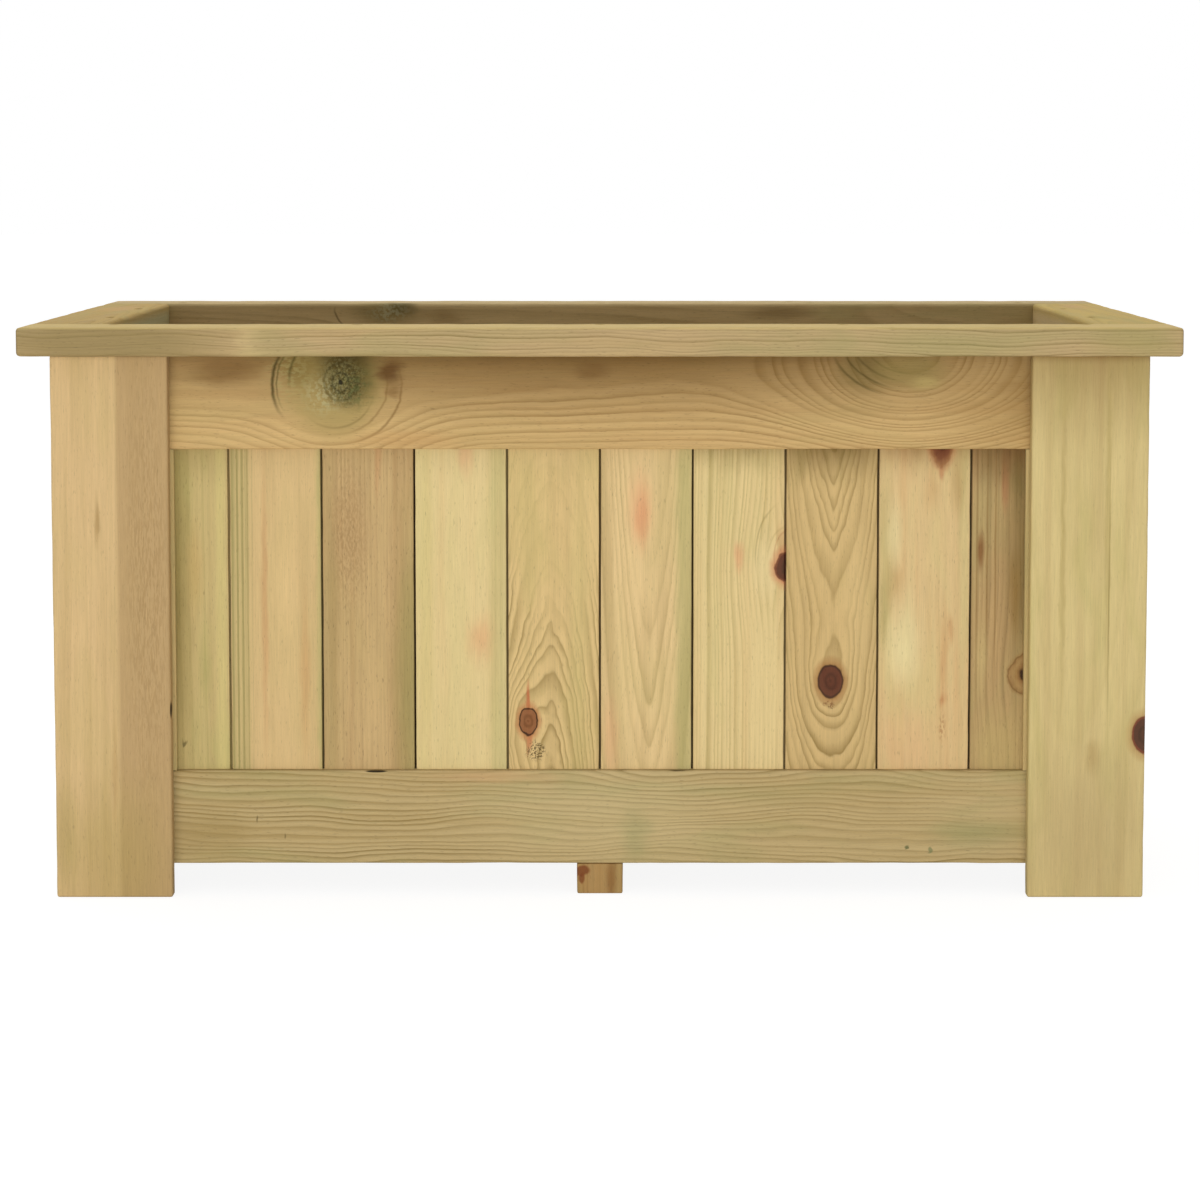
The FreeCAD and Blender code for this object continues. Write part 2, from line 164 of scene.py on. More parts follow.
# A knot is brown heartwood with a dark bark line round it and a reddish halo of resin. Its colours
# are given from its middle outwards, 1 being its edge, each with how far it covers the board
knotTones = {
    "common": {"core": "#6b3f2c", "ring": "#563224", "line": "#3c241b", "halo": "#b98054"},
    "living": {"core": "#8c5836", "ring": "#744526", "line": "#35190d", "halo": "#b9784a"},
    "pale": {"core": "#a8754a", "ring": "#936239", "line": "#7a4c2b", "halo": "#c2946a"},
    "dead": {"core": "#4e2b24", "ring": "#3c201c", "line": "#74392a", "halo": "#b08c58"},
}


# What any stain and any knot has, before its own values
anyStain = {
    "edge": 0.15,  # share of the radius at which it starts to fade
    "line": None,  # width of a line, where only its edge shows
    "fray": 1,  # how ragged its edge is
    "only": None,  # the oval that it is kept to
    "onlyEdge": 0.2,
    "speckle": None,  # size of the specks that it breaks into
    "stretch": 1,  # of the specks, along the grain
    "deep": throughBoard,
}
anyKnot = {
    "radius": None,  # without one it only bends the grain
    "push": 0.6,  # how far it pushes the grain aside, of its reach
    "bump": 0,  # how far it moves the rings
    "ragged": 0.4,
    "halo": 1.7,  # where its colours end, of its radius
    "tones": knotTones["common"],
    "cover": 0.95,
    "layers": None,  # colours of its own instead
    "deep": throughBoard,
}


def knotLayers(tone, cover):
    return [(0.0, tone["ring"], cover), (0.2, tone["core"], cover), (0.45, tone["ring"], cover),
            (0.65, tone["core"], cover), (0.9, tone["core"], cover), (0.98, tone["line"], cover),
            (1.05, tone["line"], cover), (1.15, tone["halo"], cover * 0.75), (1.7, tone["halo"], 0.0)]


# Place within an oval round a point of the board, and how far that is from its middle, 1 being its edge
def addOval(tree, vector, at, radius, deep=throughBoard):
    near = addNode(tree, "Mapping", {"Vector": vector, "Location": (*at, deep[0]),
                                     "Scale": (*radius, deep[1])}, vector_type="TEXTURE")
    return near, addNode(tree, "VectorMath", [near], "LENGTH").outputs["Value"]


# Mask of an oval, 1 inside, or only along its edge where a line's width is given
def addMark(tree, vector, at, radius, edge, line=None, deep=throughBoard):
    away = addOval(tree, vector, at, radius, deep)[1]
    fromOne, toOne = 1.0, edge
    if line:
        away = addNode(tree, "Math", [away, 1.0], "SUBTRACT")
        away = addNode(tree, "Math", [away], "ABSOLUTE")
        fromOne, toOne = line, 0.0
    return addNode(tree, "MapRange", {"Value": away, "From Min": fromOne, "From Max": toOne},
                   interpolation_type="SMOOTHSTEP")


# Impregnated pine, planed: soft matt wood, yellow with a green cast, with the log's rings cut
# through by the faces, so that the same rings show on the face, the edge and the end of a board
def makePine(name, look, along, face, low, high):
    look = {**pine, **look}
    knots = [{**anyKnot, **knot} for knot in look["knots"]]
    stains = [{**anyStain, **mark} for mark in look["stains"]]
    chance = random.Random(name)
    material, tree = newMaterial("pine_impregnated_" + name)
    node = partial(addNode, tree)
    across = axisOf[along].cross(axisOf[face])
    turn = Matrix((across, axisOf[along], axisOf[face]))
    middle = turn @ ((low + high) / 2) * 1000
    faceDepth = middle.z + abs(((high - low) / 2).dot(axisOf[face])) * 1000

    where = node("TexCoord")
    place = node("Mapping", {"Vector": where.outputs["Object"], "Rotation": turn.to_euler(),
                             "Scale": (1000, 1000, 1000)})
    shift = [chance.uniform(-grain["apart"], grain["apart"]) for _ in range(3)]
    loose = node("VectorMath", [place, shift], "ADD")

    # Noise whose clouds have the given size across the grain and along it
    def clouds(width, length, inputs):
        stretch = (1 / width, 1 / length, 1 / width)
        stretched = node("VectorMath", [loose, stretch], "MULTIPLY")
        return node("TexNoise", {"Vector": stretched, "Scale": 1.0, **inputs})

    # The same as an offset, which moves things to both sides
    def drift(width, length, detail):
        noiseNode = clouds(width, length, {"Detail": detail})
        return node("VectorMath", [noiseNode.outputs["Color"], (0.5, 0.5, 0.5)], "SUBTRACT")

    # Moves a vector by a noise, by so much across the grain and along it
    def ragged(vector, offset, reachU, reachV):
        moving = node("VectorMath", [offset, (reachU, reachV, 0)], "MULTIPLY")
        return node("VectorMath", [vector, moving], "ADD")

    # Grain: long waves and short ones, then round each knot
    moved = place
    for height, length, width in zip(look["wave"], look["waveLength"], grain["waves"]):
        waves = drift(width, length, 1.0)
        scaled = node("VectorMath", [waves, (height * 2, 0, height * 2)], "MULTIPLY")
        moved = node("VectorMath", [moved, scaled], "ADD")
    bumps = []
    for knot in knots:
        near, away = addOval(tree, moved, knot["at"], knot["reach"])
        squared = node("Math", [away, 2.0], "POWER")
        fading = node("Math", [0.36788, squared], "POWER")  # 1/e to that power
        push = (-knot["reach"][0] * knot["push"], 0, 0)
        aside = node("VectorMath", [near, push], "MULTIPLY")
        nudge = node("VectorMath", {0: aside, "Scale": fading}, "SCALE")
        moved = node("VectorMath", [moved, nudge], "ADD")
        if knot["bump"]:
            bumps.append(node("Math", [fading, knot["bump"]], "MULTIPLY"))

    # Yearly rings round the pith
    pithU, pithDepth = look["pith"]
    slopeU, slopeDepth = look["slope"]
    split = node("SeparateXYZ", {0: moved})
    fromMiddle = node("Math", [split.outputs["Y"], middle.y], "SUBTRACT")
    pithAcross = node("Math", [fromMiddle, slopeU, middle.x + pithU], "MULTIPLY_ADD")
    pithBehind = node("Math", [fromMiddle, -slopeDepth, faceDepth - pithDepth], "MULTIPLY_ADD")
    du = node("Math", [split.outputs["X"], pithAcross], "SUBTRACT")
    dw = node("Math", [split.outputs["Z"], pithBehind], "SUBTRACT")
    flat = node("CombineXYZ", {"X": du, "Y": dw})
    radius = node("VectorMath", [flat], "LENGTH").outputs["Value"]
    for bump in bumps:
        radius = node("Math", [radius, bump], "ADD")
    spacing = look["spacing"]
    years = node("Math", [radius, 1 / (spacing * look["unevenOver"]), shift[0]], "MULTIPLY_ADD")
    uneven = node("TexNoise", {"W": years, "Scale": 1.0, "Detail": 0.0}, noise_dimensions="1D")
    wider = node("Math", [uneven, spacing * look["uneven"], radius], "MULTIPLY_ADD")
    count = node("Math", [wider, spacing], "DIVIDE")
    season = node("Math", [count], "FRACT")
    latewood = node("ValToRGB", {"Fac": season})
    setRamp(latewood, [(at, (shade, shade, shade, 1)) for at, shade in ringShades])
    year = node("Math", [count], "FLOOR")
    vigour = node("TexWhiteNoise", {"W": year}, noise_dimensions="1D")
    strength = node("MapRange", {"Value": vigour.outputs["Value"], "To Min": look["weakest"]})
    patches = clouds(*grain["patches"], {"Detail": 2.0})
    fade = node("MapRange", {"Value": patches, **shows["patches"], "To Min": look["faintest"]})
    rings = node("Math", [latewood.outputs["Color"], strength], "MULTIPLY")
    rings = node("Math", [rings, fade], "MULTIPLY")
    for calm in look["calm"]:
        mask = addMark(tree, moved, calm["at"], calm["radius"], calm["edge"])
        less = node("Math", [mask, -calm["amount"], 1.0], "MULTIPLY_ADD")
        rings = node("Math", [rings, less], "MULTIPLY")
    shown = node("Math", [rings, look["contrast"]], "MULTIPLY")
    colour = node("Mix", {0: shown, 6: linear(look["light"]), 7: linear(look["dark"])}, data_type="RGBA")

    # Long soft streaks, and the preservative's green cast
    for key, size, kind in (("streak", (look["streakWidth"], grain["streaks"]), "Roughness"),
                            ("green", grain["soaked"], "Distortion")):
        hexText, share = look[key]
        pattern = clouds(*size, {"Detail": 3.0, kind: 0.6})
        mask = node("MapRange", {"Value": pattern, **shows[key], "To Max": share},
                    interpolation_type="SMOOTHSTEP")
        colour = node("Mix", {0: mask, 6: colour, 7: linear(hexText)}, data_type="RGBA")

    # Stains of resin, heartwood and preservative, with ragged edges
    fray = drift(*grain["frayed"], 3.0)
    frayU, frayV = grain["frayReach"]
    frays = {0: place}
    for mark in stains:
        share = mark["fray"]
        if share not in frays:
            frays[share] = ragged(place, fray, frayU * share, frayV * share)
        mask = addMark(tree, frays[share], mark["at"], mark["radius"], mark["edge"], mark["line"],
                       mark["deep"])
        if mark["only"]:
            part = addMark(tree, place, *mark["only"], mark["onlyEdge"])
            mask = node("Math", [mask, part], "MULTIPLY")
        if mark["speckle"]:
            specks = clouds(mark["speckle"], mark["speckle"] * mark["stretch"], {"Detail": 2.0})
            dots = node("MapRange", {"Value": specks, **shows["specks"]})
            mask = node("Math", [mask, dots], "MULTIPLY")
        cover = node("Math", [mask, mark["amount"]], "MULTIPLY")
        colour = node("Mix", {0: cover, 6: colour, 7: linear(mark["hex"])}, data_type="RGBA")

    # Knots, slightly sunk; those without a radius only bend the grain
    jitter = drift(*grain["jitter"], 2.0)
    sunk = 0.0
    for knot in knots:
        if not knot["radius"]:
            continue
        halo = knot["halo"]
        rough = ragged(place, jitter, *[length * knot["ragged"] for length in knot["radius"]])
        away = addOval(tree, rough, knot["at"], knot["radius"], knot["deep"])[1]
        share = node("Math", [away, halo], "DIVIDE")
        layers = node("ValToRGB", {"Fac": share})
        bands = knot["layers"] or knotLayers(knot["tones"], knot["cover"])
        setRamp(layers, [(min(1.0, at / halo), linear(hexText, alpha)) for at, hexText, alpha in bands])
        colour = node("Mix", {0: layers.outputs["Alpha"], 6: colour, 7: layers.outputs["Color"]},
                      data_type="RGBA")
        inside = node("MapRange", {"Value": away, **shows["knots"]})
        sunk = node("Math", [inside, sunk], "MAXIMUM")

    # Fibres and flecks
    fibres = clouds(*grain["fibres"], {"Detail": 2.0, "Roughness": 0.6})
    fibreTone = node("MapRange", {"Value": fibres, **shows["fibres"],
                                  "To Min": 1 - look["fibre"], "To Max": 1 + look["fibre"]})
    colour = node("VectorMath", {0: colour, "Scale": fibreTone}, "SCALE")
    pores = clouds(*grain["flecks"], {"Detail": 1.0})
    fleck = node("MapRange", {"Value": pores, **shows["flecks"], "To Min": 1, "To Max": 1 - look["flecks"]})
    colour = node("VectorMath", {0: colour, "Scale": fleck}, "SCALE")

    endwise = node("VectorMath", [where.outputs["Normal"], axisOf[along]], "DOT_PRODUCT")
    endwise = node("Math", [endwise.outputs["Value"]], "ABSOLUTE")
    endGrain = node("MapRange", {"Value": endwise, **shows["ends"]})
    colour = node("Mix", {0: endGrain, 6: colour, 7: linear(look["endGrain"])}, data_type="RGBA",
                  blend_type="MULTIPLY")

    # Relief of rings, fibres and knots, and roughness
    height = node("Math", [rings, relief["rings"], fibres], "MULTIPLY_ADD")
    height = node("Math", [sunk, relief["knots"], height], "MULTIPLY_ADD")
    bumpy = node("Bump", {"Height": height, "Distance": relief["height"], "Strength": 1.0})
    least, most = look["roughness"]
    dull = node("MapRange", {"Value": fibres, **shows["dull"], "To Min": least, "To Max": most})
    surface = node("BsdfPrincipled", {"Base Color": colour, "Roughness": dull, "Normal": bumpy,
                                      "IOR": 1.45, "Specular IOR Level": look["gloss"]})
    node("OutputMaterial", {"Surface": surface})
    return material


# Puts a bmesh into the scene
def newPiece(name, bm, material=None):
    mesh = bpy.data.meshes.new(name)
    bm.to_mesh(mesh)
    bm.free()
    if material:
        mesh.materials.append(material)
    piece = bpy.data.objects.new(name, mesh)
    bpy.context.scene.collection.objects.link(piece)
    return piece


def everything(bm):
    return bm.verts[:] + bm.edges[:] + bm.faces[:]


# Eased block between two corners
def newBlock(low, high, ease):
    bm = bmesh.new()
    bmesh.ops.create_cube(bm, size=1.0)
    bmesh.ops.scale(bm, vec=high - low, verts=bm.verts)
    bmesh.ops.translate(bm, vec=(low + high) / 2, verts=bm.verts)
    bmesh.ops.bevel(bm, geom=bm.edges[:], offset=ease * mm, offset_type="OFFSET", segments=4,
                    profile=0.5, affect="EDGES", material=-1)
    bm.normal_update()
    return bm


# Tongue (reach above 0) or groove (below 0) along the middle of one side
def millEdge(bm, outward, thickness, middle, width, reach):
    for place in (middle - width / 2, middle + width / 2):
        bmesh.ops.bisect_plane(bm, geom=everything(bm), dist=tiny["cut"], plane_co=thickness * place,
                               plane_no=thickness)
    bm.normal_update()
    limit = max(v.co.dot(outward) for v in bm.verts)
    strip = []
    for face in bm.faces:
        spot = face.calc_center_median()
        flatOn = face.normal.dot(outward) > 0.99 and spot.dot(outward) > limit - tiny["face"]
        if flatOn and abs(spot.dot(thickness) - middle) < width / 2:
            strip.append(face)
    pushed = bmesh.ops.extrude_face_region(bm, geom=strip)
    verts = [item for item in pushed["geom"] if isinstance(item, bmesh.types.BMVert)]
    bmesh.ops.translate(bm, vec=outward * reach, verts=verts)


wear = {
    "step": 14,  # between the cuts that let a board bend
    "bow": 0.22,  # how far a board wanders from straight
    "bowLength": 240,
    "arris": 0.45,  # rubbed off the edges here and there
    "arrisLength": 26,
    "arrisShare": 0.25,  # above 0, more of the edges is rubbed than not
    "arrisReach": 1.2,  # of the rounding's own width
}


# Cuts a board across every few millimetres, bows it a little and rubs its long edges
def wearBoard(bm, along, low, high, ease, name):
    line = axisOf[along]
    start, end = low.dot(line), high.dot(line)
    cuts = max(2, round((end - start) / (wear["step"] * mm)))
    for index in range(1, cuts):
        bmesh.ops.bisect_plane(bm, geom=everything(bm), dist=tiny["cut"], plane_no=line,
                               plane_co=line * (start + (end - start) * index / cuts))
    chance = random.Random(name)
    seed = Vector([chance.uniform(-50, 50) for _ in range(3)])
    middle, half = (low + high) / 2, (high - low) / 2
    sides = [axis for axis in (axisOf["x"], axisOf["y"], axisOf["z"]) if abs(axis.dot(line)) < 0.5]
    for v in bm.verts:
        place = v.co * (1 / (wear["bowLength"] * mm))
        bow = Vector((noise.noise(place + seed), noise.noise(place - seed), noise.noise(place + seed * 2)))
        inset = [abs(half.dot(axis)) - abs((v.co - middle).dot(axis)) for axis in sides]
        rub = max(0.0, noise.noise(v.co * (1 / (wear["arrisLength"] * mm)) + seed) + wear["arrisShare"])
        if sum(inset) < ease * mm * wear["arrisReach"]:
            for axis in sides:
                v.co -= axis * math.copysign(rub * wear["arris"] * mm, (v.co - middle).dot(axis))
        bow -= line * bow.dot(line)
        v.co += bow * wear["bow"] * mm


def boxOf(name):
    low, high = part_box(name)
    return Vector(low), Vector(high)


# Puts marks given as (x, z) of their wall, with radii in those directions, in the board's own ones
def ownMarks(look, along, face):
    across, line = axisOf[along].cross(axisOf[face]), axisOf[along]
    flat = abs(axisOf[face].z) > 0.5
    right = axisOf["x"] if flat or abs(axisOf[face].x) < 0.5 else axisOf["y"]
    upward = axisOf["y"] if flat else axisOf["z"]
    lying = abs(across.dot(right)) < 0.5
    own = dict(look)

    def turned(at, *radii):
        spot = right * at[0] + upward * at[1]
        return [(spot.dot(across), spot.dot(line))] + [radius[::-1] if lying else radius for radius in radii]

    for kind in ("knots", "stains", "calm"):
        own[kind] = []
        for mark in look.get(kind, []):
            mark = dict(mark)
            for length in ("radius", "reach"):
                if length in mark:
                    mark[length] = turned(mark["at"], mark[length])[1]
            if "only" in mark:
                mark["only"] = turned(*mark["only"])
            mark["at"] = turned(mark["at"])[0]
            own[kind].append(mark)
    return own


# Looks of the boards that the camera sees, each beside the code that makes the board. Their marks lie
# at (x, z) of the wall, or (x, y) on the rim's ends, in millimetres, and "deep" is a depth and its reach
looks = {}


# A stain's place, how far it reaches, its colour and how much of it shows; "more" as in anyStain
def stain(at, radius, hexText, amount, **more):
    return {"at": at, "radius": radius, "hex": hexText, "amount": amount, **more}


soft = partial(stain, edge=0.0)  # fades out all the way from its middle

# Woods of the boards that the photograph doesn't show
tones = {
    "tan": {"light": "#cdb07c", "dark": "#9b7f4e"},
    "cream": {"light": "#dfc98f", "dark": "#b09a60"},
    "peach": {"light": "#d9ba86", "dark": "#ad8c58"},
    "olive": {"light": "#c6b27a", "dark": "#93824b"},
}


# Chance look for a board that the photograph doesn't show
def chanceLook(name, low, high, along, face):
    chance = random.Random("look " + name)
    line, across = axisOf[along], axisOf[along].cross(axisOf[face])
    middle, size = (low + high) / 2 * 1000, (high - low) * 1000
    length, width = abs(size.dot(line)), abs(size.dot(across))
    tone = chance.choice(["tan", "cream", "peach", "olive", "olive", "tan"])
    look = {
        **tones[tone],
        "pith": (chance.uniform(-0.7, 0.7) * width, chance.uniform(18, 60)),
        "slope": (chance.uniform(-0.01, 0.01), chance.choice((-1, 1)) * chance.uniform(0.02, 0.1)),
        "spacing": chance.uniform(3.8, 6.2),
        "contrast": chance.uniform(0.3, 0.55),
        "knots": [], "stains": [],
    }

    def spot():
        return (middle.dot(across) + chance.uniform(-0.45, 0.45) * width,
                middle.dot(line) + chance.uniform(-0.45, 0.45) * length)

    for _ in range(chance.choice((0, 0, 1, 1) if length > 250 else (0, 0, 1))):
        size = chance.uniform(5, min(14, width * 0.2))
        look["knots"].append({
            "at": spot(), "radius": (size, size * chance.uniform(1.1, 1.6)), "reach": (size * 2.6, size * 4),
            "push": 0.7, "bump": chance.choice((-1, -1, 1)) * size * 0.8,
            "ragged": chance.uniform(0.15, 0.35), "tones": chance.choice(list(knotTones.values())),
            "cover": chance.uniform(0.7, 0.95),
        })
    for _ in range(chance.choice((1, 2, 3))):
        look["stains"].append({
            "at": spot(), "radius": (chance.uniform(8, 22), chance.uniform(40, 140)),
            "hex": chance.choice(("#c89a68", "#9c9a5e", "#b8895a", "#a8a468")),
            "amount": chance.uniform(0.2, 0.45),
        })
    return look


def lookOf(key, name, low, high, along, face):
    return ownMarks(looks[key], along, face) if key in looks else chanceLook(name, low, high, along, face)


screws = ("rim_and_foot_screws", "leg_screws", "frame_screws", "floor_screws")
countersink = {
    "above": 1.0, "wide": 5.9,  # its cone starts over the surface with this radius
    "below": 3.0, "narrow": 2.9,
    "segments": 24,
    "sunk": 0.6,  # how far a head lies under the surface
    "room": 1.5,  # how far it may be from the board's side and still belong to it
}


# Each screw's head and the way it points, read from the frame's own screws
def screwHeads():
    found = []
    for name in screws:
        bm = bmesh.new()
        bm.from_mesh(nodes[name].data)
        bmesh.ops.remove_doubles(bm, verts=bm.verts, dist=tiny["weld"])
        for v in bm.verts:
            v.tag = False
        for first in bm.verts:
            if first.tag:
                continue
            first.tag = True
            island = [first]
            for v in island:
                for edge in v.link_edges:
                    other = edge.other_vert(v)
                    if not other.tag:
                        other.tag = True
                        island.append(other)
            low = Vector([min(v.co[i] for v in island) for i in range(3)])
            high = Vector([max(v.co[i] for v in island) for i in range(3)])
            longest = max(range(3), key=lambda i: high[i] - low[i])
            axis, middle = Vector([float(i == longest) for i in range(3)]), (low + high) / 2
            ends = {}
            for end in (low, high):
                close = [v.co for v in island if abs((v.co - end).dot(axis)) < tiny["end"]]
                wide = max((spot - middle - axis * (spot - middle).dot(axis)).length for spot in close)
                ends[wide] = middle + axis * (end - middle).dot(axis)
            head = ends[max(ends)]
            found.append((head, (head - middle).normalized()))
        bm.free()
    return found


heads = screwHeads()
print("screws found:", len(heads))


# Cuts a countersink for every screw whose head lies just under one of the board's faces
def drill(piece, low, high):
    room = countersink["room"] * mm
    cones = bmesh.new()
    for head, out in heads:
        surface = head + out * countersink["sunk"] * mm
        inside = all(low[i] - room < head[i] < high[i] + room for i in range(3))
        depth = min((high - head).dot(out), (low - head).dot(out), key=abs)
        if not inside or not 0 < depth < room:
            continue
        length = countersink["above"] + countersink["below"]
        middle = surface + out * (countersink["above"] - countersink["below"]) / 2 * mm
        turn = out.to_track_quat("Z", "Y").to_matrix().to_4x4()
        bmesh.ops.create_cone(cones, cap_ends=True, segments=countersink["segments"], depth=length * mm,
                              radius1=countersink["narrow"] * mm, radius2=countersink["wide"] * mm,
                              matrix=Matrix.Translation(middle) @ turn)
    if not cones.verts:
        cones.free()
        return
    cutter = newPiece("countersinks", cones)
    cut = piece.modifiers.new("countersinks", "BOOLEAN")
    cut.operation = "DIFFERENCE"
    cut.solver = "EXACT"
    cut.object = cutter
    bpy.context.view_layer.update()
    drilled = bpy.data.meshes.new_from_object(piece.evaluated_get(bpy.context.evaluated_depsgraph_get()))
    piece.modifiers.clear()
    piece.data = drilled
    bpy.data.objects.remove(cutter)


# A board over a node of the frame; "key" names its look, "mills" its tongues and grooves, "gaps" its painted
# shade in the gaps and under the top rail
def addBoard(key, low, high, along, face, ease, standsFor, mills=(), gaps=()):
    name = key + "_wood"
    look = lookOf(key, name, low, high, along, face)
    look["stains"] = look["stains"] + ownMarks({"stains": gaps}, along, face)["stains"]
    bm = newBlock(low, high, ease)
    for outward, thickness, middle, width, reach in mills:
        millEdge(bm, outward, thickness, middle, width * mm, reach * mm)
    wearBoard(bm, along, low, high, ease, name)
    piece = newPiece(name, bm, makePine(name, look, along, face, low, high))
    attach(piece, "root")
    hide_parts(standsFor)
    drill(piece, low, high)


def makeBoard(name, along, face, ease, mills=()):
    low, high = boxOf(name)
    addBoard(name, low, high, along, face, ease, name, mills)


rim = {"ease": 4}  # rounding of the edges
looks["front_rim_board"] = dict(
    light="#bba175", dark="#7a6538", pith=(-210, 40), slope=(0.01, 0.0), spacing=3.4, contrast=0.95,
    wave=(9, 0.9, 0.25), waveLength=(150, 36, 11), green=("#93925c", 0.3), faintest=0.6, weakest=0.35,
    uneven=1.6,
    stains=[
        stain((-470, 542), (150, 40), "#8a784c", 0.7, edge=0.3),
        soft((-335, 542), (20, 60), "#ccb280", 0.4),
        stain((330, 540), (140, 26), "#93955c", 0.35),
        stain((505, 542), (60, 30), "#a3975c", 0.35),
        stain((0, 560), (wholeWall, 7), "#e1c57e", 0.75, edge=0.5, fray=0),  # painted highlight along the rounded top edge
    ],
)
# Depth of the face of the back board that the camera sees, and the reach of its marks
innerFace = (-228, 14)
looks["back_rim_board"] = dict(
    light="#c5ac7b", dark="#907a4b", pith=(30, 50), spacing=6, contrast=0.6,
    knots=[
        dict(at=(-242, 552), reach=(66, 44), push=0.85),  # rings round the green eye
        dict(at=(277, 556), reach=(60, 40), push=0.8, bump=-16),
    ],
    stains=[
        stain((-240, 548), (50, 24), "#7d7040", 0.6, edge=0.2, deep=(-228, 16)),
        stain((-222, 552), (26, 14), "#56502a", 0.6, deep=innerFace),
        stain((-236, 546), (34, 16), "#b5b08a", 0.55, speckle=3.4, deep=innerFace),
        stain((-240, 548), (58, 30), "#443a1c", 0.6, line=0.035, fray=0.15, only=((-296, 540), (24, 15)),
              deep=innerFace),
        stain((-175, 540), (30, 14), "#93784a", 0.5, deep=innerFace),
        stain((200, 545), (60, 12), "#7c6236", 0.5, deep=innerFace),
    ],
)
looks["left_rim_board"] = dict(
    light="#ba9b57", dark="#907330", pith=(12, 34), spacing=4.6, contrast=0.5,
    stains=[
        stain((-519, 100), (30, 90), "#c79f6b", 0.5),
        stain((-483, 0), (10, wholeWall), "#a8a47c", 0.8, edge=0.3, fray=0, deep=(536, 19)),  # painted shade: the inner edge greyer and darker, as it lies in shade
    ],
)
looks["right_rim_board"] = dict(
    light="#c8ac61", dark="#9e8540", pith=(-15, 30), spacing=5.0, contrast=0.45,
    stains=[
        stain((519, 150), (26, 70), "#c99f70", 0.4),
        stain((483, 0), (10, wholeWall), "#cbb485", 0.8, edge=0.3, fray=0, deep=(536, 19)),  # painted light: the inner edge paler, as it is lit
    ],
)
for name, along, face in (("front_rim_board", "x", "-y"), ("back_rim_board", "x", "-y"),
                          ("left_rim_board", "y", "z"), ("right_rim_board", "y", "z")):
    makeBoard(name, along, face, rim["ease"])

leg = {"ease": 2.5}
looks["front_left_leg_face"] = dict(
    light="#d3b482", dark="#b19262", pith=(-90, 30), slope=(0.02, 0.0), spacing=6, contrast=0.25,
    green=("#b6a566", 0.2), flecks=0.2,
    stains=[
        stain((-408, 270), (60, wholeWall), "#b09265", 0.78, edge=0.9, fray=0),  # darker half
        stain((-436, 300), (30, 320), "#8a6a3c", 0.3, speckle=1.2, stretch=8),
        soft((-472, 532), (200, 11), "#7b5726", 0.35, fray=0),  # painted shadow of the rim
        stain((-484, 368), (4, 36), "#9a7c4a", 0.6),
        stain((-472, 40), (80, 110), "#ab9459", 0.55, edge=0.1),
        stain((-520, 60), (16, 80), "#9c8a50", 0.35),
        stain((-470, 130), (4, 80), "#a78550", 0.4),
        stain((-415, 184), (1.3, 11), "#140d06", 0.95, edge=0.5, fray=0, deep=(273, 14)),  # painted shadow of the gap beside the stile
    ],
)
looks["front_right_leg_face"] = dict(
    light="#d2bd84", dark="#a8955a", pith=(-10, 95), slope=(0.0, -0.05), spacing=9, contrast=0.3,
    green=("#b0a765", 0.3), flecks=0.12,
    knots=[
        dict(at=(528, 160), radius=(12, 17), reach=(36, 50), push=0.8, ragged=0.2, deep=(273, 12),
             tones=knotTones["dead"]),
    ],
    stains=[
        soft((472, 540), (200, 130), "#7b5726", 0.47),  # painted shadow of the rim
        # the painted shadow's sharper edge just under the rim
        soft((472, 532), (200, 14), "#7b5726", 0.7, fray=0),
        stain((446, 330), (4, 200), "#a99459", 0.5),
        stain((489, 380), (4, 240), "#a99459", 0.45),
        stain((491, 290), (1.3, 180), "#8f7c45", 0.6, fray=0.2),
        stain((472, 60), (90, 130), "#b39b6d", 0.5),
        stain((477, 135), (12, 24), "#ab8f5a", 0.5),
    ],
)
for side, face in (("front", "-y"), ("back", "y")):
    for end in ("left", "right"):
        outer = "-x" if end == "left" else "x"
        makeBoard(f"{side}_{end}_leg_face", "z", face, leg["ease"])
        makeBoard(f"{side}_{end}_leg_side", "z", outer, leg["ease"])
print("rim and legs made")

